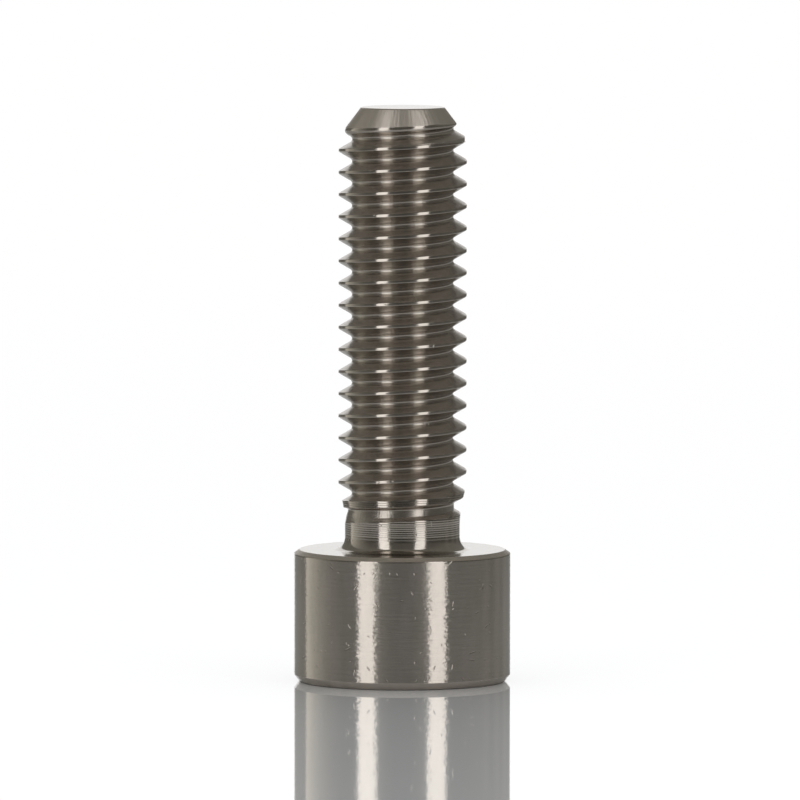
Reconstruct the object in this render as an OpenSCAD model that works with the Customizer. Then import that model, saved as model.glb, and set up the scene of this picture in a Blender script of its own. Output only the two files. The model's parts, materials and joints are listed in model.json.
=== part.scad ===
// Socket head cap screw, M6 x 1 x 20, turned from titanium bar with a cut right-hand thread.
// It stands on its head: z = 0 is the socket face and +Z runs to the tip. All sizes are in mm.

/* [Head] */
// Diameter of the head
head_diameter = 9.78; // [9.4:0.02:11]
// Height of the head, from the socket face to the bearing face
head_height = 5.95; // [5.4:0.05:7]
// Width of the edge break beside the bearing face
bearing_chamfer = 0.26; // [0.1:0.02:0.5]
// Height of the edge break beside the bearing face
bearing_chamfer_height = 0.18; // [0.1:0.02:0.5]
// Width of the edge break beside the socket face
face_chamfer = 0.23; // [0.1:0.01:0.5]
// Height of the edge break beside the socket face
face_chamfer_height = 0.3; // [0.1:0.02:0.6]

/* [Socket] */
// Width of the hexagon across its flats
socket_flats = 5; // [4:0.5:6]
// Depth of the hexagon's flats
socket_depth = 3; // [2:0.1:3.4]
// Margin by which the lead-in cone passes the hexagon's corners
socket_lead_in = 0.1; // [0.05:0.05:0.3]

/* [Shank] */
// Length from the bearing face to the tip
length = 20; // [12:1:30]
// Diameter of the neck between the head and the thread
neck_diameter = 5.2; // [4.8:0.05:5.5]
// Height of the neck at its full depth, above the bearing face
neck_height = 1; // [0.8:0.05:2]
// Radius of the fillet between the neck and the bearing face
neck_fillet = 0.55; // [0.3:0.05:0.8]
// Radius of the hollow sweep from the neck out to the thread
relief_radius = 5.8; // [3:0.1:9]
// Diameter of the flat at the tip
tip_diameter = 3.74; // [3:0.02:4.5]
// Angle of the tip's cone, from the axis
tip_angle = 37; // [30:1:45]

/* [Thread] */
// Outer diameter of the thread
thread_diameter = 5.8; // [5.75:0.01:6]
// Rise of the thread in one turn
thread_pitch = 1; // [0.75:0.25:1]
// Height above the neck at which the groove passes the +X side
groove_start = 1.04; // [1:0.02:1.6]
// Turns over which the groove runs out towards the neck
run_out_turns = 1.5; // [0.75:0.05:2]
// Share of the pitch at which the groove still rises in its run-out
run_out_rise = 0.8; // [0.6:0.05:1]

/* [Hidden] */
$fn = 96;
head_r = head_diameter / 2;
neck_r = neck_diameter / 2;
thread_r = thread_diameter / 2;
tip_r = tip_diameter / 2;
tip_z = head_height + length;
neck_top_z = head_height + neck_height;
tip_cone_height = (thread_r - tip_r) / tan(tip_angle);
socket_flat_r = socket_flats / 2;
socket_corner_r = socket_flat_r / cos(30);
lead_in_r = socket_corner_r + socket_lead_in;
overlap = 0.01;

// the thread's form: a 60 degree groove with a rounded root
thread_h = thread_pitch * sqrt(3) / 2;
groove_depth = 17 / 24 * thread_h;
root_round = thread_h / 6;
root_r = thread_r - groove_depth;
mouth_rise = groove_depth + thread_h / 16;
mouth_half = root_round * sin(60) + (mouth_rise - root_round / 2) * tan(30);

// the groove's path, as an angle that grows from the neck to past the tip
full_depth_angle = 180;
first_angle = full_depth_angle - 360 * run_out_turns;
last_angle = 360 * (length - neck_height - groove_start + 0.6 * thread_pitch) / thread_pitch;
turn_count = (last_angle - first_angle) / 360;
turn_facets = min(30, floor(900 / turn_count));
step_count = ceil(turn_count * turn_facets);
step_angle = (last_angle - first_angle) / step_count;
run_out_lift = max(0, neck_r - root_r) + 0.04;

// the groove's section as [distance out from the root, distance along the axis]
function root_point(a) = [root_round * (1 - cos(a)), root_round * sin(a)];
groove_section = concat(
    [[mouth_rise, -mouth_half]],
    [for (a = [-60, -20, 20, 60]) root_point(a)],
    [[mouth_rise, mouth_half]]
);
section_count = len(groove_section);

// how far the groove has climbed out of the shank, and its section's place, at an angle of the path
function run_out_share(a) = max(0, (full_depth_angle - a) / (full_depth_angle - first_angle));
function groove_root(a) = root_r + run_out_lift * pow(run_out_share(a), 2);
function path_rise(a) = max(a, full_depth_angle) + run_out_rise * min(0, a - full_depth_angle);
function groove_z(a) = neck_top_z + groove_start + thread_pitch * path_rise(a) / 360;
function groove_ring(a) = [
    for (p = groove_section)
        let (r = groove_root(a) + p[0])
        [r * cos(a), r * sin(a), groove_z(a) + p[1]]
];

// the space the threading tool clears, one helical groove from the neck to past the tip
module thread_groove() {
    points = [for (i = [0:step_count]) each groove_ring(first_angle + i * step_angle)];
    sides = [
        for (i = [0:step_count - 1], j = [0:section_count - 1])
            let (
                near = i * section_count + j,
                near_next = i * section_count + (j + 1) % section_count,
                far = near + section_count,
                far_next = near_next + section_count
            )
            each [[near, far_next, near_next], [near, far, far_next]]
    ];
    first_end = [for (j = [0:section_count - 1]) j];
    last_end = [for (j = [section_count - 1:-1:0]) step_count * section_count + j];
    polyhedron(points, concat(sides, [first_end, last_end]), convexity = 20);
}

module head_section() {
    polygon([
        [0, 0],
        [head_r - face_chamfer, 0],
        [head_r, face_chamfer_height],
        [head_r, head_height - bearing_chamfer_height],
        [head_r - bearing_chamfer, head_height],
        [0, head_height]
    ]);
}

module neck_section() {
    translate([0, head_height - overlap])
        square([neck_r, neck_height + 2 * overlap]);
    difference() {
        translate([0, head_height - overlap])
            square([neck_r + neck_fillet, neck_fillet + overlap]);
        translate([neck_r + neck_fillet, head_height + neck_fillet])
            circle(neck_fillet);
    }
}

module shank_section() {
    difference() {
        polygon([
            [0, neck_top_z],
            [thread_r, neck_top_z],
            [thread_r, tip_z - tip_cone_height],
            [tip_r, tip_z],
            [0, tip_z]
        ]);
        translate([neck_r + relief_radius, neck_top_z])
            circle(relief_radius, $fn = 360);
    }
}

// the turned piece before its thread and socket are cut
module blank() {
    rotate_extrude() {
        head_section();
        neck_section();
        shank_section();
    }
}

// the hexagon with a lead-in cone at its mouth and a drill point at its floor
module hex_socket() {
    translate([0, 0, -overlap])
        cylinder(r = socket_corner_r, h = socket_depth + overlap, $fn = 6);
    translate([0, 0, socket_depth - overlap])
        cylinder(r1 = socket_flat_r, r2 = 0, h = socket_flat_r * tan(30));
    translate([0, 0, -overlap])
        cylinder(r1 = lead_in_r + overlap * tan(60), r2 = 0, h = lead_in_r / tan(60) + overlap);
}

module cap_screw() {
    color("#8c857b")
        difference() {
            blank();
            thread_groove();
            hex_socket();
        }
}

cap_screw();
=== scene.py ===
import json
import math

import bmesh
import bpy
from mathutils import Matrix, Quaternion, Vector


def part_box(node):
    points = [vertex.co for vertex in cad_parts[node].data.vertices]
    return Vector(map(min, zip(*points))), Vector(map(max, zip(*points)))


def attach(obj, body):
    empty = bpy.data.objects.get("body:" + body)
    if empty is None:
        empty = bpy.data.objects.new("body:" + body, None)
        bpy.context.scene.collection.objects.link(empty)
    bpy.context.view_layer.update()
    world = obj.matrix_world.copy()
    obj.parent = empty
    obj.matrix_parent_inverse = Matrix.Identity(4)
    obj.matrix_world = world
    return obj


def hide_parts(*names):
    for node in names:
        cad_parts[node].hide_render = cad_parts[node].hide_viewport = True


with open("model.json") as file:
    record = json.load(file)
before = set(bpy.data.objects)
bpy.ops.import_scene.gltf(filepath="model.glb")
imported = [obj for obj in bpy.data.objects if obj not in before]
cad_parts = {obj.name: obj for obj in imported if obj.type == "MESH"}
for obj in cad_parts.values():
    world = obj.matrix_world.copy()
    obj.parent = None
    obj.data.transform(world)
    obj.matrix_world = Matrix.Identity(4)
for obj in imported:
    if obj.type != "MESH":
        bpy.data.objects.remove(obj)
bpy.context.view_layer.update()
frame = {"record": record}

# The screw's sizes, in millimetres, with the main ones taken from the frame
MM = 0.001
mounts = {mount["name"]: mount for mount in frame["record"]["mounts"]}
HEAD_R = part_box("cap_screw")[1].x / MM
TIP_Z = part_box("cap_screw")[1].z / MM
HEAD_TOP = mounts["bearing_face"]["pos_m"][2] / MM
THREAD_R = mounts["thread"]["dims"]["r_mm"]
BEARING_CHAMFER = (0.26, 0.18)
FACE_CHAMFER = (0.23, 0.3)
EDGE_ROUND = 0.05
TIP_ROUND = 0.15
SOCKET_FLATS = 5.0
SOCKET_DEPTH = 3.0
SOCKET_LEAD_IN = 0.1
NECK_R = 2.6
NECK_TOP = HEAD_TOP + 1.0
NECK_FILLET = 0.55
RELIEF_R = 5.8
TIP_R = 1.87
TIP_ANGLE = math.radians(37)
PITCH = 1.0
CREST_ROUND = 0.03
GROOVE_START = NECK_TOP + 1.04

# The thread's run-out, counted in half turns from where the tool begins to draw out of the shank
RUN_OUT_START = math.pi
RUN_OUT_END = 3.0
RUN_OUT_LIFT = 0.045
RUN_OUT_BEND = 1.9
ROOT_SHIFT = 0.25
ROOT_SHIFT_END = 2.2
ROOT_SHIFT_BEND = 0.75
ROOT_FLAT = 0.24
ROOT_SLOPE = 0.36
FLANK_ANGLE = math.radians(60)
FLANK_SLOPE = math.tan(FLANK_ANGLE)

# The blunt start of the thread at the tip
START_ROUND = 0.22
START_FADE = 0.1
START_R = 2.8
START_Z = TIP_Z - 1.55

# The fine grooves that the turning tool left on the neck and on the sweep out to the thread
RING_PITCH = 0.098
RING_HALF_WIDTH = 0.020
RING_DEPTH = 0.003
RING_SWING = 2.4
RING_FIRST_Z = HEAD_TOP + NECK_FILLET + 0.05

# Half the width of a knock on the head
KNOCK_HALF_WIDTH = 0.03

# How finely the turned and threaded surfaces are divided
TURN_STEPS = 128
THREAD_STEPS = 120
ARC_STEP = math.radians(12)
GUARD = 0.02
OVERCUT = 0.05
SHARP_EDGE = math.radians(28)


# Outlines
def corner_arc(before, corner, after, radius):
    """The points that round one corner, each end guarded by a point on its straight."""
    back = (before - corner).normalized()
    ahead = (after - corner).normalized()
    half = back.angle(ahead) / 2
    reach = radius / math.tan(half)
    centre = corner + (back + ahead).normalized() * radius / math.sin(half)
    start = corner + back * reach - centre
    end = corner + ahead * reach - centre
    sweep = start.angle(end)
    steps = max(2, math.ceil(sweep / ARC_STEP))
    arc = []
    for i in range(steps + 1):
        share = i / steps
        from_start = math.sin((1 - share) * sweep)
        from_end = math.sin(share * sweep)
        arc.append(centre + (start * from_start + end * from_end) / math.sin(sweep))
    return [arc[0] + back * GUARD, *arc, arc[-1] + ahead * GUARD]


def rounded(corners):
    """Points along an outline of (radius, height, corner round) in the XZ plane."""
    points = [Vector((r, z)) for r, z, _ in corners]
    outline = [points[0]]
    for i in range(1, len(points) - 1):
        round_r = corners[i][2]
        if round_r:
            outline += corner_arc(points[i - 1], points[i], points[i + 1], round_r)
        else:
            outline.append(points[i])
    return outline + [points[-1]]


def draw(bm, outline):
    """An open chain of edges along an outline."""
    chain = [bm.verts.new((point.x, 0, point.y)) for point in outline]
    for first, second in zip(chain, chain[1:]):
        bm.edges.new((first, second))


def relief_r(z):
    """Radius of the neck and of the hollow sweep from it out to the thread."""
    rise = max(0.0, z - NECK_TOP)
    return NECK_R + RELIEF_R - math.sqrt(RELIEF_R**2 - rise**2)


def neck_outline():
    """The neck and the sweep out past the thread's crests, in level lands with a groove between them."""
    sweep = RELIEF_R - (THREAD_R + OVERCUT - NECK_R)
    top_z = NECK_TOP + math.sqrt(RELIEF_R**2 - sweep**2)
    count = math.ceil((top_z - RING_FIRST_Z) / RING_PITCH)
    outline = []
    for i in range(count):
        low = RING_FIRST_Z + i * RING_PITCH
        high = low + RING_PITCH
        land_r = relief_r((low + high) / 2)
        depth = RING_DEPTH * (0.8 + 0.2 * math.cos(RING_SWING * i))
        outline.append(Vector((land_r, low + RING_HALF_WIDTH)))
        outline.append(Vector((land_r, high - RING_HALF_WIDTH)))
        outline.append(Vector((land_r - depth, high)))
    return outline


# The turned blank, the thread and the socket
def turned_blank():
    """The screw as it leaves the lathe, standing proud of the crests by the overcut."""
    head = rounded([
        (0, 0, 0),
        (HEAD_R - FACE_CHAMFER[0], 0, EDGE_ROUND),
        (HEAD_R, FACE_CHAMFER[1], EDGE_ROUND),
        (HEAD_R, HEAD_TOP - BEARING_CHAMFER[1], EDGE_ROUND),
        (HEAD_R - BEARING_CHAMFER[0], HEAD_TOP, EDGE_ROUND),
        (NECK_R, HEAD_TOP, NECK_FILLET),
        (NECK_R, RING_FIRST_Z, 0),
    ])
    blank_r = THREAD_R + OVERCUT
    tip = rounded([
        (blank_r, START_Z - EDGE_ROUND, 0),
        (START_R, START_Z, 0),
        (START_R, TIP_Z - (START_R - TIP_R) / math.tan(TIP_ANGLE), EDGE_ROUND),
        (TIP_R, TIP_Z, TIP_ROUND),
        (0, TIP_Z, 0),
    ])
    bm = bmesh.new()
    draw(bm, head[:-1] + neck_outline() + tip)
    bmesh.ops.spin(
        bm,
        geom=bm.verts[:] + bm.edges[:],
        cent=(0, 0, 0),
        axis=(0, 0, 1),
        angle=math.tau,
        steps=TURN_STEPS,
        use_merge=True,
    )
    bmesh.ops.remove_doubles(bm, verts=bm.verts, dist=1e-5)
    bmesh.ops.recalc_face_normals(bm, faces=bm.faces)
    return bm


def thread_place(co):
    """How far round the thread a point lies, and how far above the groove's root."""
    around = math.atan2(co.y, co.x)
    turn = math.floor((co.z - GROOVE_START) / PITCH - around / math.tau + 0.5 + 1e-4)
    path = around + turn * math.tau
    return path, co.z - GROOVE_START - PITCH * path / math.tau


def run_out(vert, path, from_root, root_r):
    """Moves one point of the thread by how far into the run-out it lies; the crests keep their height."""
    radius = vert.co.xy.length
    late = min(RUN_OUT_END, max(0.0, 1 - path / RUN_OUT_START))
    lift = RUN_OUT_LIFT * late**RUN_OUT_BEND
    new_radius = radius + lift
    if from_root < 0 and 0 < late < RUN_OUT_END:
        flat = ROOT_FLAT * min(1.0, late)
        fading = min(1.0, max(0.0, late - 1))
        along_root = min(flat, -from_root)
        up_flank = -from_root - along_root
        widened = root_r + lift + ROOT_SLOPE * fading * along_root + FLANK_SLOPE * (1 - 0.8 * fading**2) * up_flank
        new_radius = min(new_radius, widened)
    vert.co.xy *= new_radius / radius
    shift = ROOT_SHIFT * max(0.0, min(ROOT_SHIFT_END, late) - 1) ** ROOT_SHIFT_BEND
    vert.co.z += shift * (1 - 2 * abs(from_root) / PITCH)


def blunt_start(vert, path, from_root, apex_r, root_r, edge):
    """Rounds the edge that the tip's cone leaves on the first turn of the thread."""
    share = (from_root - edge[0]) / (edge[1] - edge[0])
    if not -0.02 < share < 1.02:
        return
    root_z = GROOVE_START + PITCH * path / math.tau
    cone_slope = math.tan(TIP_ANGLE)
    corner_z = (TIP_R + TIP_Z * cone_slope - apex_r + FLANK_SLOPE * root_z) / (FLANK_SLOPE + cone_slope)
    corner_r = apex_r + FLANK_SLOPE * (corner_z - root_z)
    lowest_r = 2 * root_r - apex_r
    full = min((THREAD_R - corner_r) / START_FADE, (corner_r - lowest_r) / START_FADE, 1.0)
    if full <= 0:
        return
    radius = START_ROUND * full
    flank_side = Vector((math.cos(FLANK_ANGLE), -math.sin(FLANK_ANGLE)))
    cone_side = Vector((math.cos(TIP_ANGLE), math.sin(TIP_ANGLE)))
    inset = (flank_side + cone_side) / (1 + flank_side.dot(cone_side))
    centre = Vector((corner_r, corner_z)) - inset * radius
    facing = (FLANK_ANGLE + TIP_ANGLE) * min(1.0, max(0.0, share)) ** 0.6 - FLANK_ANGLE
    place = centre + Vector((math.cos(facing), math.sin(facing))) * radius
    vert.co.xy = vert.co.xy.normalized() * place.x
    vert.co.z = place.y


def threaded_envelope():
    """A threaded rod that flares out over the head, to be intersected with the blank."""
    half = PITCH / 2
    crest = PITCH / 16
    apex_r = THREAD_R - (half - crest) * FLANK_SLOPE
    root_round = PITCH * math.sqrt(3) / 12
    reach = CREST_ROUND / FLANK_SLOPE + GUARD
    edge = (half - crest - reach / 2, half - crest + reach)
    section = rounded([
        (THREAD_R, -half, 0),
        (THREAD_R, crest - half, CREST_ROUND),
        (apex_r + 1.5 * ROOT_FLAT * FLANK_SLOPE, -1.5 * ROOT_FLAT, 0),
        (apex_r + ROOT_FLAT * FLANK_SLOPE, -ROOT_FLAT, 0),
        (apex_r, 0, root_round),
        (THREAD_R, half - crest, CREST_ROUND),
        (THREAD_R, half, 0),
    ])
    base_z = HEAD_TOP + NECK_FILLET + GUARD
    first_turn = math.floor((base_z - GROOVE_START) / PITCH) - 2
    last_turn = math.ceil((TIP_Z - GROOVE_START) / PITCH) + 1
    turns = last_turn - first_turn
    bm = bmesh.new()
    draw(bm, section)
    bmesh.ops.translate(bm, verts=bm.verts, vec=(0, 0, GROOVE_START + first_turn * PITCH))
    bmesh.ops.spin(
        bm,
        geom=bm.verts[:] + bm.edges[:],
        cent=(0, 0, 0),
        axis=(0, 0, 1),
        dvec=(0, 0, PITCH / THREAD_STEPS),
        angle=math.tau,
        steps=THREAD_STEPS,
    )
    one_turn = bm.verts[:] + bm.edges[:] + bm.faces[:]
    for turn in range(1, turns):
        copied = bmesh.ops.duplicate(bm, geom=one_turn)["geom"]
        copied_verts = [vert for vert in copied if isinstance(vert, bmesh.types.BMVert)]
        bmesh.ops.translate(bm, verts=copied_verts, vec=(0, 0, turn * PITCH))
    bmesh.ops.remove_doubles(bm, verts=bm.verts, dist=1e-4)
    for vert in bm.verts:
        path, from_root = thread_place(vert.co)
        run_out(vert, path, from_root, apex_r + root_round)
        blunt_start(vert, path, from_root, apex_r, apex_r + root_round, edge)
    cut_end(bm, base_z, below=True)
    cut_end(bm, TIP_Z + half, below=False)
    rim = [edge for edge in bm.edges if edge.is_boundary and edge.verts[0].co.z < NECK_TOP]
    for flare_r, drop in ((HEAD_R + 1, 0), (HEAD_R + 1, base_z + 1)):
        grown = bmesh.ops.extrude_edge_only(bm, edges=rim)["geom"]
        rim = [edge for edge in grown if isinstance(edge, bmesh.types.BMEdge) and edge.is_boundary]
        for vert in {vert for edge in rim for vert in edge.verts}:
            vert.co.xy = vert.co.xy.normalized() * flare_r
            vert.co.z -= drop
    bmesh.ops.holes_fill(bm, edges=[edge for edge in bm.edges if edge.is_boundary])
    bmesh.ops.recalc_face_normals(bm, faces=bm.faces)
    return bm


def cut_end(bm, z, below):
    """Cuts a mesh off level at a height."""
    bmesh.ops.bisect_plane(
        bm,
        geom=bm.verts[:] + bm.edges[:] + bm.faces[:],
        plane_co=(0, 0, z),
        plane_no=(0, 0, 1),
        clear_inner=below,
        clear_outer=not below,
    )


def cone(bottom_r, top_r, bottom_z, top_z, sides):
    """A closed cone or prism on the axis, with a corner on +X."""
    bm = bmesh.new()
    bmesh.ops.create_cone(
        bm,
        cap_ends=True,
        segments=sides,
        radius1=bottom_r,
        radius2=top_r,
        depth=top_z - bottom_z,
        matrix=Matrix.Translation((0, 0, (bottom_z + top_z) / 2)) @ Matrix.Rotation(math.pi / 2, 4, "Z"),
    )
    bmesh.ops.remove_doubles(bm, verts=bm.verts, dist=1e-5)
    bmesh.ops.recalc_face_normals(bm, faces=bm.faces)
    return bm


def socket_cutters():
    """The hexagon, the drill point at its floor and the lead-in cone at its mouth."""
    flat_r = SOCKET_FLATS / 2
    corner_r = flat_r / math.cos(math.radians(30))
    mouth_r = corner_r + SOCKET_LEAD_IN
    slope = math.tan(math.radians(30))
    return [
        cone(corner_r, corner_r, -1, SOCKET_DEPTH, 6),
        cone(flat_r + GUARD / slope, 0, SOCKET_DEPTH - GUARD, SOCKET_DEPTH + flat_r * slope, TURN_STEPS),
        cone(mouth_r + 1 / slope, 0, -1, mouth_r * slope, TURN_STEPS),
    ]


def as_object(bm, name):
    """An object that holds a bmesh, which is freed."""
    mesh = bpy.data.meshes.new(name)
    bm.to_mesh(mesh)
    bm.free()
    made = bpy.data.objects.new(name, mesh)
    bpy.context.scene.collection.objects.link(made)
    return made


def cut_screw():
    """The blank with its thread and its socket cut, as one closed mesh in metres."""
    screw = as_object(turned_blank(), "turned_screw")
    tools = [("INTERSECT", as_object(threaded_envelope(), "envelope"))]
    tools += [("DIFFERENCE", as_object(bm, "cutter")) for bm in socket_cutters()]
    for operation, tool in tools:
        cut = screw.modifiers.new("cut", "BOOLEAN")
        cut.operation = operation
        cut.solver = "MANIFOLD"
        cut.object = tool
    depsgraph = bpy.context.evaluated_depsgraph_get()
    mesh = bpy.data.meshes.new_from_object(screw.evaluated_get(depsgraph))
    screw.modifiers.clear()
    screw.data = mesh
    for _, tool in tools:
        bpy.data.objects.remove(tool)
    bm = bmesh.new()
    bm.from_mesh(mesh)
    bmesh.ops.remove_doubles(bm, verts=bm.verts, dist=1e-5)
    bmesh.ops.dissolve_degenerate(bm, edges=bm.edges, dist=1e-5)
    open_edges = [edge for edge in bm.edges if not edge.is_manifold]
    print("screw mesh:", len(bm.verts), "verts", len(bm.faces), "faces", len(open_edges), "open edges")
    bm.to_mesh(mesh)
    bm.free()
    mesh.transform(Matrix.Scale(MM, 4))
    mesh.shade_smooth()
    mesh.set_sharp_from_angle(angle=SHARP_EDGE)
    return screw


# Shader nodes
def add(tree, kind, inputs=None, **settings):
    """A node with its settings made and its inputs set or linked."""
    node = tree.nodes.new(kind)
    for name, value in settings.items():
        setattr(node, name, value)
    for socket, value in (inputs or {}).items():
        if isinstance(value, bpy.types.NodeSocket):
            tree.links.new(value, node.inputs[socket])
        else:
            node.inputs[socket].default_value = value
    return node


def calculate(tree, operation, first, second=0.0, third=0.0, **settings):
    """The result of a math node."""
    inputs = {0: first, 1: second, 2: third}
    return add(tree, "ShaderNodeMath", inputs, operation=operation, **settings).outputs[0]


def ramp(tree, value, low, high, to_low=0.0, to_high=1.0, kind="LINEAR"):
    """A value taken from one range to another and kept inside it."""
    inputs = {"Value": value, "From Min": low, "From Max": high, "To Min": to_low, "To Max": to_high}
    return add(tree, "ShaderNodeMapRange", inputs, interpolation_type=kind).outputs["Result"]


def new_group(name, inputs, outputs):
    """An empty shader group with value inputs, and its given values and result node."""
    tree = bpy.data.node_groups.new(name, "ShaderNodeTree")
    for label, value in inputs.items():
        socket = tree.interface.new_socket(label, in_out="INPUT", socket_type="NodeSocketFloat")
        socket.default_value = value
    for label in outputs:
        tree.interface.new_socket(label, in_out="OUTPUT", socket_type="NodeSocketFloat")
    return tree, tree.nodes.new("NodeGroupInput").outputs, tree.nodes.new("NodeGroupOutput")


def from_axis(tree):
    """The level part of a point's place, and its height, in millimetres."""
    place = add(tree, "ShaderNodeTexCoord").outputs["Object"]
    scaled = add(tree, "ShaderNodeVectorMath", {0: place, "Scale": 1 / MM}, operation="SCALE").outputs["Vector"]
    parts = add(tree, "ShaderNodeSeparateXYZ", {0: scaled}).outputs
    level = add(tree, "ShaderNodeCombineXYZ", {0: parts["X"], 1: parts["Y"]}).outputs[0]
    return level, parts["Z"]


def turning_group():
    """Fine marks that run round the screw's axis: rings on its faces, lines on its sides."""
    tree, given, result = new_group("turning_marks", {"Around": 2.0, "Across": 9.0, "Seed": 0.0}, ["Marks"])
    level, height = from_axis(tree)
    outwards = add(tree, "ShaderNodeVectorMath", {0: level}, operation="NORMALIZE").outputs["Vector"]
    inputs = {0: outwards, "Scale": given["Around"]}
    round_axis = add(tree, "ShaderNodeVectorMath", inputs, operation="SCALE").outputs["Vector"]
    radius = add(tree, "ShaderNodeVectorMath", {0: level}, operation="LENGTH").outputs["Value"]
    along = calculate(tree, "ADD", height, radius)
    lines = calculate(tree, "MULTIPLY_ADD", along, given["Across"], given["Seed"])
    lift = add(tree, "ShaderNodeCombineXYZ", {2: lines}).outputs[0]
    vector = add(tree, "ShaderNodeVectorMath", {0: round_axis, 1: lift}).outputs["Vector"]
    noise = add(tree, "ShaderNodeTexNoise", {"Vector": vector, "Scale": 1.0, "Detail": 2.0, "Roughness": 0.6})
    tree.links.new(noise.outputs["Fac"], result.inputs["Marks"])
    return tree


def nicks_group():
    """Short knocks, each at a slant of its own, on the round sides."""
    inputs = {"Spread": 1.0, "Length": 0.2, "Width": 0.05, "Share": 0.2}
    tree, given, result = new_group("nicks", inputs, ["Nicks"])
    level, height = from_axis(tree)
    parts = add(tree, "ShaderNodeSeparateXYZ", {0: level}).outputs
    behind = calculate(tree, "MULTIPLY", parts["Y"], -1.0)
    turn = calculate(tree, "ARCTAN2", parts["X"], behind)
    radius = add(tree, "ShaderNodeVectorMath", {0: level}, operation="LENGTH").outputs["Value"]
    girth = calculate(tree, "MULTIPLY", turn, radius)
    sheet = add(tree, "ShaderNodeCombineXYZ", {0: girth, 1: height}).outputs[0]
    finer = calculate(tree, "DIVIDE", 1.0, given["Spread"])
    cells = add(
        tree, "ShaderNodeTexVoronoi", {"Vector": sheet, "Scale": finer}, voronoi_dimensions="2D"
    ).outputs
    offset = add(tree, "ShaderNodeVectorMath", {0: sheet, 1: cells["Position"]}, operation="SUBTRACT")
    chance = add(tree, "ShaderNodeSeparateColor", {0: cells["Color"]}).outputs
    slant = calculate(tree, "MULTIPLY", chance["Red"], math.pi)
    turned = add(
        tree, "ShaderNodeVectorRotate", {"Vector": offset.outputs["Vector"], "Angle": slant}, rotation_type="Z_AXIS"
    )
    across = add(tree, "ShaderNodeSeparateXYZ", {0: turned.outputs["Vector"]}).outputs
    long_way = calculate(tree, "POWER", calculate(tree, "DIVIDE", across["X"], given["Length"]), 2.0)
    short_way = calculate(tree, "POWER", calculate(tree, "DIVIDE", across["Y"], given["Width"]), 2.0)
    away = calculate(tree, "ADD", long_way, short_way)
    inside = ramp(tree, away, 1.0, 0.0)
    picked = calculate(tree, "LESS_THAN", chance["Green"], given["Share"])
    tree.links.new(calculate(tree, "MULTIPLY", inside, picked), result.inputs["Nicks"])
    return tree


# Knocks that the photograph shows on the head: turn from the front, height, slant, length
KNOCKS = [
    (26.4, 5.73, 40, 0.18),
    (5.3, 4.36, -55, 0.12),
    (-24.9, 4.61, 50, 0.18),
    (-14.2, 5.11, 62, 0.15),
    (-13.1, 3.84, -55, 0.13),
    (-14.8, 3.74, 55, 0.10),
    (27.6, 3.84, 75, 0.14),
    (-30.0, 1.80, 25, 0.18),
    (-29.2, 1.97, -40, 0.07),
    (-26.0, 0.75, 85, 0.14),
    (-65.0, 1.22, 15, 0.20),
    (10.0, 1.69, 30, 0.06),
    (40.2, 1.61, 12, 0.20),
    (40.0, 1.27, -8, 0.18),
    (43.4, 3.40, 20, 0.14),
]


def knock_group():
    """One slanted knock at a given turn and height on the head's side."""
    inputs = {"Turn": 0.0, "Height": 3.0, "Slant": 0.0, "Length": 0.15}
    tree, given, result = new_group("knock", inputs, ["Knock"])
    level, height = from_axis(tree)
    parts = add(tree, "ShaderNodeSeparateXYZ", {0: level}).outputs
    behind = calculate(tree, "MULTIPLY", parts["Y"], -1.0)
    turn = calculate(tree, "ARCTAN2", parts["X"], behind)
    girth = calculate(tree, "MULTIPLY", calculate(tree, "SUBTRACT", turn, given["Turn"]), HEAD_R)
    rise = calculate(tree, "SUBTRACT", height, given["Height"])
    offset = add(tree, "ShaderNodeCombineXYZ", {0: girth, 1: rise}).outputs[0]
    slant = calculate(tree, "MULTIPLY", given["Slant"], -1.0)
    inputs = {"Vector": offset, "Angle": slant}
    turned = add(tree, "ShaderNodeVectorRotate", inputs, rotation_type="Z_AXIS").outputs["Vector"]
    across = add(tree, "ShaderNodeSeparateXYZ", {0: turned}).outputs
    long_way = calculate(tree, "POWER", calculate(tree, "DIVIDE", across["X"], given["Length"]), 2.0)
    short_way = calculate(tree, "POWER", calculate(tree, "DIVIDE", across["Y"], KNOCK_HALF_WIDTH), 2.0)
    on_head = calculate(tree, "LESS_THAN", height, HEAD_TOP)
    inside = ramp(tree, calculate(tree, "ADD", long_way, short_way), 1.0, 0.0)
    tree.links.new(calculate(tree, "MULTIPLY", inside, on_head), result.inputs["Knock"])
    return tree


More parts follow.
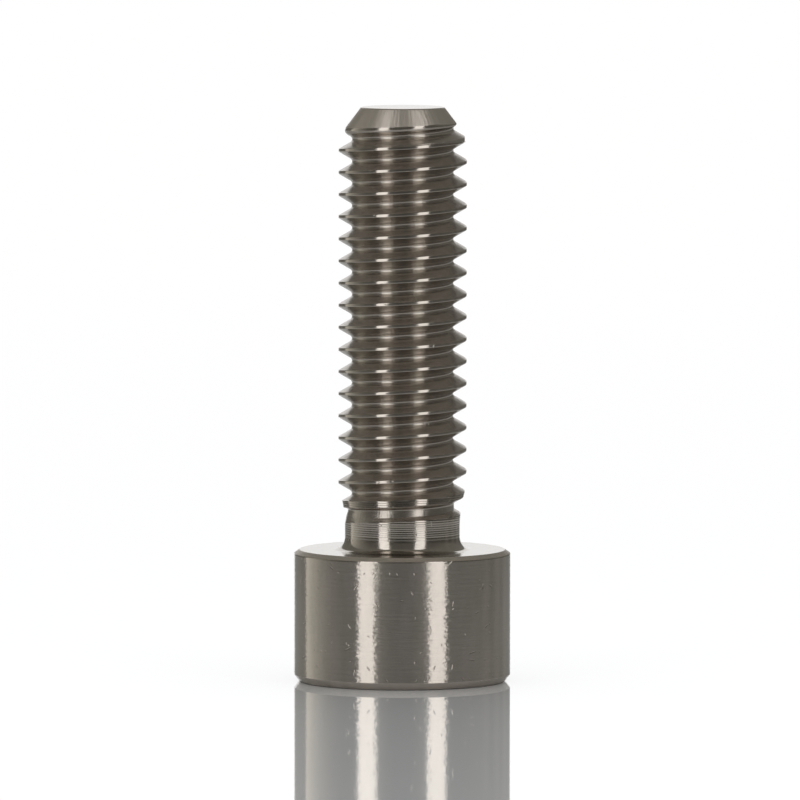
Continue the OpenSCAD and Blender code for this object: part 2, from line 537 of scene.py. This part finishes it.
def titanium():
    """Bare turned titanium, with lathe lines, ragged gloss, small knocks, shifts of tone, and a painted sheen that
    lightens the tip's cone and the bearing chamfer.
    """
    made = bpy.data.materials.new("turned_titanium")
    made.use_nodes = True
    tree = made.node_tree
    metal = tree.nodes["Principled BSDF"]
    metal.inputs["Metallic"].default_value = 1.0
    turning = turning_group()
    nicks = nicks_group()
    knock = knock_group()

    def grouped(group, *values):
        node = tree.nodes.new("ShaderNodeGroup")
        node.node_tree = group
        for socket, value in zip(node.inputs, values):
            socket.default_value = value
        return node.outputs[0]

    fine = grouped(turning, 3.0, 10.0, 0.0)
    ragged = grouped(turning, 45.0, 9.0, 40.0)
    chatter = grouped(turning, 50.0, 2.0, 70.0)
    blotches = ramp(tree, grouped(turning, 8.0, 0.35, 90.0), 0.3, 0.7)
    tone = add(tree, "ShaderNodeMix", {"Factor": blotches}, data_type="RGBA")
    tone.inputs["A"].default_value = (0.452, 0.422, 0.374, 1)
    tone.inputs["B"].default_value = (0.508, 0.457, 0.416, 1)

    level, height = from_axis(tree)
    radius = add(tree, "ShaderNodeVectorMath", {0: level}, operation="LENGTH").outputs["Value"]
    below_tip = calculate(tree, "SUBTRACT", TIP_Z, height)
    cone_r = calculate(tree, "MULTIPLY_ADD", below_tip, math.tan(TIP_ANGLE), TIP_R)
    rise = ramp(tree, height, NECK_TOP, NECK_TOP + RELIEF_R / 2, 0.0, RELIEF_R / 2)
    hollow = calculate(tree, "SQRT", calculate(tree, "MULTIPLY_ADD", rise, calculate(tree, "MULTIPLY", rise, -1.0), RELIEF_R**2))
    sweep_r = calculate(tree, "SUBTRACT", NECK_R + RELIEF_R, hollow)
    blank_r = calculate(tree, "MINIMUM", calculate(tree, "MINIMUM", cone_r, sweep_r), THREAD_R)
    depth = calculate(tree, "SUBTRACT", blank_r, radius)
    cut = ramp(tree, depth, 0.03, 0.08)
    off_face = ramp(tree, below_tip, 0.01, 0.03)
    cut = calculate(tree, "MULTIPLY", cut, off_face)
    on_cone = calculate(tree, "GREATER_THAN", THREAD_R, cone_r)
    on_skin = calculate(tree, "MULTIPLY", ramp(tree, depth, 0.012, 0.004), off_face)
    tip_cone = calculate(tree, "MULTIPLY", on_cone, on_skin)
    top_edge = ramp(tree, height, HEAD_TOP - BEARING_CHAMFER[1], HEAD_TOP - BEARING_CHAMFER[1] + 0.02)
    top_edge = calculate(tree, "MULTIPLY", top_edge, calculate(tree, "LESS_THAN", height, HEAD_TOP - 0.01))
    # The tip's cone and the bearing chamfer are rougher; their colour is also lifted, a painted sheen for the lighter
    # reflection they show
    worn_and_painted_sheen = calculate(tree, "ADD", tip_cone, top_edge)
    painted_sheen_gain = calculate(tree, "MULTIPLY_ADD", worn_and_painted_sheen, 0.35, 1.0)
    inputs = {0: tone.outputs["Result"], "Scale": painted_sheen_gain}
    colour = add(tree, "ShaderNodeVectorMath", inputs, operation="SCALE").outputs["Vector"]
    tree.links.new(colour, metal.inputs["Base Color"])
    gloss = ramp(tree, fine, 0.2, 0.8, 0.10, 0.15)
    gloss = calculate(tree, "MULTIPLY_ADD", cut, 0.12, gloss)
    gloss = calculate(tree, "MULTIPLY_ADD", worn_and_painted_sheen, 0.28, gloss)
    tree.links.new(gloss, metal.inputs["Roughness"])

    dents = calculate(tree, "MAXIMUM", grouped(nicks, 0.9, 0.14, 0.035, 0.14), grouped(nicks, 0.4, 0.07, 0.025, 0.12))
    for turn, place, slant, length in KNOCKS:
        dent = grouped(knock, math.radians(turn), place, math.radians(slant), length)
        dents = calculate(tree, "MAXIMUM", dents, dent)
    pressed = calculate(tree, "MULTIPLY_ADD", dents, -10.0, fine)
    inputs = {"Strength": 1.0, "Distance": 5.5e-7, "Height": pressed}
    bump = add(tree, "ShaderNodeBump", inputs).outputs["Normal"]
    place = add(tree, "ShaderNodeTexCoord").outputs["Object"]
    side = add(tree, "ShaderNodeVectorMath", {0: (0, 0, 1), 1: place}, operation="CROSS_PRODUCT").outputs["Vector"]
    side = add(tree, "ShaderNodeVectorMath", {0: side}, operation="NORMALIZE").outputs["Vector"]
    side = add(tree, "ShaderNodeVectorTransform", {0: side}, vector_type="VECTOR").outputs["Vector"]
    ragged_reach = ramp(tree, radius, THREAD_R, HEAD_R, 0.02, 0.06)
    smooth_sway = calculate(tree, "MULTIPLY", ramp(tree, ragged, 0.0, 1.0, -1.0, 1.0), ragged_reach)
    chatter_reach = calculate(tree, "MULTIPLY_ADD", tip_cone, 0.25, calculate(tree, "MULTIPLY", cut, 0.1))
    cut_sway = calculate(tree, "MULTIPLY", ramp(tree, chatter, 0.0, 1.0, -1.0, 1.0), chatter_reach)
    sway = calculate(tree, "ADD", smooth_sway, cut_sway)
    swayed = add(tree, "ShaderNodeVectorMath", {0: side, "Scale": sway}, operation="SCALE").outputs["Vector"]
    leaning = add(tree, "ShaderNodeVectorMath", {0: bump, 1: swayed}).outputs["Vector"]
    normal = add(tree, "ShaderNodeVectorMath", {0: leaning}, operation="NORMALIZE").outputs["Vector"]
    tree.links.new(normal, metal.inputs["Normal"])
    return made


# The stage
FLOOR_SPAN = 2.4
FLOOR_GAP = 0.01 * MM
BACKDROP_X = -0.05
BACKDROP_Y = 1.1
BACKDROP_SIZE = (0.52, 0.8)
FLOOR_FILL = 0.8
FLOOR_MIRROR = 1.42
STRIP_DISTANCE = 0.09
STRIP_WIDTH = 0.0284
STRIP_PARTS = ((1.4, 3, 8), (8, 3, 0), (40.6, 3, 4), (45, 18, 4), (42, 30, 4), (45, 0, 0))


def polished_floor():
    """A pale polished floor, which mirrors more the flatter it is seen, with a glow of painted sheen that also rises
    the flatter it is seen and a painted shadow where the screw shuts it in.
    """
    made = bpy.data.materials.new("polished_floor")
    made.use_nodes = True
    tree = made.node_tree
    tree.nodes.clear()
    paint = add(tree, "ShaderNodeBsdfDiffuse", {"Color": (0.8, 0.8, 0.8, 1)})
    # The glow is painted light: a painted shadow where the screw hides the floor from the room, and a painted sheen
    # that rises the flatter the floor is seen
    painted_shadow_factor = add(tree, "ShaderNodeAmbientOcclusion", {"Distance": 0.02}, samples=8).outputs["AO"]
    grazing = add(tree, "ShaderNodeLayerWeight", {"Blend": 0.5}).outputs["Facing"]
    painted_floor_sheen = ramp(tree, grazing, 0.75, 0.89, 0.16 * FLOOR_FILL, FLOOR_FILL)
    painted_glow_level = calculate(tree, "MULTIPLY", painted_shadow_factor, painted_floor_sheen)
    glow = add(tree, "ShaderNodeEmission", {"Color": (0.94, 0.97, 1, 1), "Strength": painted_glow_level})
    pale = add(tree, "ShaderNodeAddShader", {0: paint.outputs[0], 1: glow.outputs[0]})
    mirror = add(tree, "ShaderNodeBsdfGlossy", {"Color": (1, 1, 1, 1), "Roughness": 0.03})
    flatness = add(tree, "ShaderNodeFresnel", {"IOR": 1.5}).outputs[0]
    share = calculate(tree, "MULTIPLY", flatness, FLOOR_MIRROR, use_clamp=True)
    mixed = add(tree, "ShaderNodeMixShader", {0: share, 1: pale.outputs[0], 2: mirror.outputs[0]})
    add(tree, "ShaderNodeOutputMaterial", {"Surface": mixed.outputs[0]})
    return made


def white_paper():
    """White paper behind the screw, at a strength of 1."""
    made = bpy.data.materials.new("white_paper")
    made.use_nodes = True
    tree = made.node_tree
    tree.nodes.clear()
    glow = add(tree, "ShaderNodeEmission", {"Color": (1, 1, 1, 1), "Strength": 1.0})
    add(tree, "ShaderNodeOutputMaterial", {"Surface": glow.outputs[0]})
    return made


def sheet(name, width, height, matrix, material):
    """A flat sheet placed by a matrix."""
    bm = bmesh.new()
    place = matrix @ Matrix.Diagonal((width, height, 1, 1))
    bmesh.ops.create_grid(bm, x_segments=1, y_segments=1, size=0.5, matrix=place)
    made = as_object(bm, name)
    made.data.materials.append(material)
    return made


def build_stage():
    """The floor and the paper behind it."""
    below = Matrix.Translation((0, 0, -FLOOR_GAP))
    floor = sheet("floor", FLOOR_SPAN, FLOOR_SPAN, below, polished_floor())
    place = (BACKDROP_X, BACKDROP_Y, BACKDROP_SIZE[1] / 2)
    standing = Matrix.Translation(place) @ Matrix.Rotation(math.pi / 2, 4, "X")
    backdrop = sheet("backdrop", *BACKDROP_SIZE, standing, white_paper())


def strip_light(name, azimuth, radiance):
    """A strip beside the camera, standing on the floor and bending in over the screw."""
    foot = Vector((math.sin(azimuth), -math.cos(azimuth), 0)) * STRIP_DISTANCE
    inwards = -math.copysign(1, azimuth)
    for part_height, part_lean, part_extra in STRIP_PARTS:
        height = part_height * MM
        extra = part_extra * MM
        lean = math.radians(part_lean)
        lamp = bpy.data.lights.new(name, "AREA")
        lamp.shape = "RECTANGLE"
        lamp.size = STRIP_WIDTH + extra
        lamp.size_y = height
        lamp.energy = radiance * math.pi * lamp.size * height
        placed = bpy.data.objects.new(name, lamp)
        bpy.context.scene.collection.objects.link(placed)
        up = Vector((0, math.sin(lean), math.cos(lean)))
        back = (foot - up * foot.dot(up)).normalized()
        across = up.cross(back)
        placed.location = foot + up * height / 2 + across * inwards * extra / 2
        placed.rotation_mode = "QUATERNION"
        placed.rotation_quaternion = Matrix((across, up, back)).transposed().to_quaternion()
        placed.visible_camera = False
        foot = foot + up * height


def room_light():
    """A dim room, darkest behind the camera, lighter behind the screw, to its left and overhead."""
    world = bpy.data.worlds.new("room")
    bpy.context.scene.world = world
    world.use_nodes = True
    tree = world.node_tree
    tree.nodes.clear()
    towards = add(tree, "ShaderNodeTexCoord").outputs["Generated"]
    parts = add(tree, "ShaderNodeSeparateXYZ", {0: towards}).outputs
    behind = calculate(tree, "MULTIPLY", parts["Y"], -1.0)
    azimuth = calculate(tree, "ARCTAN2", parts["X"], behind)
    wall = ramp(tree, parts["Y"], -1.0, 1.0, 0.05, 0.15)
    window = ramp(tree, azimuth, math.radians(-125), math.radians(-66), 0.81, 0.0)
    window = calculate(tree, "POWER", window, 2.0)
    window = calculate(tree, "MULTIPLY", window, ramp(tree, parts["Z"], 0.8, 0.1))
    edge = calculate(tree, "GREATER_THAN", azimuth, math.radians(-125))
    window = calculate(tree, "MULTIPLY", window, edge)
    left_wall = ramp(tree, azimuth, math.radians(-75), math.radians(-45), 0.025, 0.0)
    walls = calculate(tree, "ADD", wall, left_wall)
    spread = calculate(tree, "ABSOLUTE", calculate(tree, "SUBTRACT", calculate(tree, "ABSOLUTE", azimuth), math.radians(28)))
    spill = ramp(tree, spread, math.radians(18), 0.0, 0.0, 0.1)
    walls = calculate(tree, "ADD", walls, spill)
    panels = calculate(tree, "SINE", calculate(tree, "MULTIPLY_ADD", azimuth, 17.0, 3.02))
    beside = ramp(tree, azimuth, math.radians(90), math.radians(100), 0.0, 0.03)
    walls = calculate(tree, "MULTIPLY_ADD", panels, beside, walls)
    up = ramp(tree, parts["Z"], 0.06, 0.3)
    overhead = ramp(tree, parts["Y"], -0.35, 0.25, 0.13, 0.2)
    zenith = ramp(tree, parts["Z"], 0.88, 0.97, 0.0, 0.04)
    overhead = calculate(tree, "ADD", overhead, zenith)
    level = add(tree, "ShaderNodeMix", {"Factor": up, "A": walls, "B": overhead}).outputs["Result"]
    level = calculate(tree, "ADD", level, window)
    sky = add(tree, "ShaderNodeBackground", {"Color": (1, 0.98, 0.88, 1), "Strength": level})
    add(tree, "ShaderNodeOutputWorld", {"Surface": sky.outputs[0]})


# The camera, at the photograph's angle and scale
PHOTO_PIXELS = 800
PIXELS_PER_MM = 22.15
CAMERA_DISTANCE = 0.565
CAMERA_HEIGHT = 0.055
AIM_X = -0.11 * MM
AIM_Z = 12.70 * MM
CAMERA_ROLL = math.radians(0.07)


def photo_camera():
    """A long lens in front of the screw, a little above its tip."""
    lens = bpy.data.cameras.new("camera")
    camera = bpy.data.objects.new("camera", lens)
    bpy.context.scene.collection.objects.link(camera)
    camera.location = (AIM_X, -CAMERA_DISTANCE, CAMERA_HEIGHT)
    towards = Vector((AIM_X, 0, AIM_Z)) - camera.location
    camera.rotation_mode = "QUATERNION"
    roll = Quaternion((0, 0, 1), CAMERA_ROLL)
    camera.rotation_quaternion = towards.to_track_quat("-Z", "Y") @ roll
    lens.sensor_width = 36
    lens.lens = PIXELS_PER_MM * towards.length / MM * lens.sensor_width / PHOTO_PIXELS
    lens.clip_start = 0.05
    lens.clip_end = 5
    bpy.context.scene.camera = camera


screw = cut_screw()
screw.data.materials.clear()
screw.data.materials.append(titanium())
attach(screw, "root")
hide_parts("cap_screw")

build_stage()
room_light()
strip_light("left_strip", math.radians(-37.7), 1.53)
strip_light("right_strip", math.radians(37.3), 1.45)
photo_camera()
bpy.context.scene.view_settings.view_transform = "Standard"
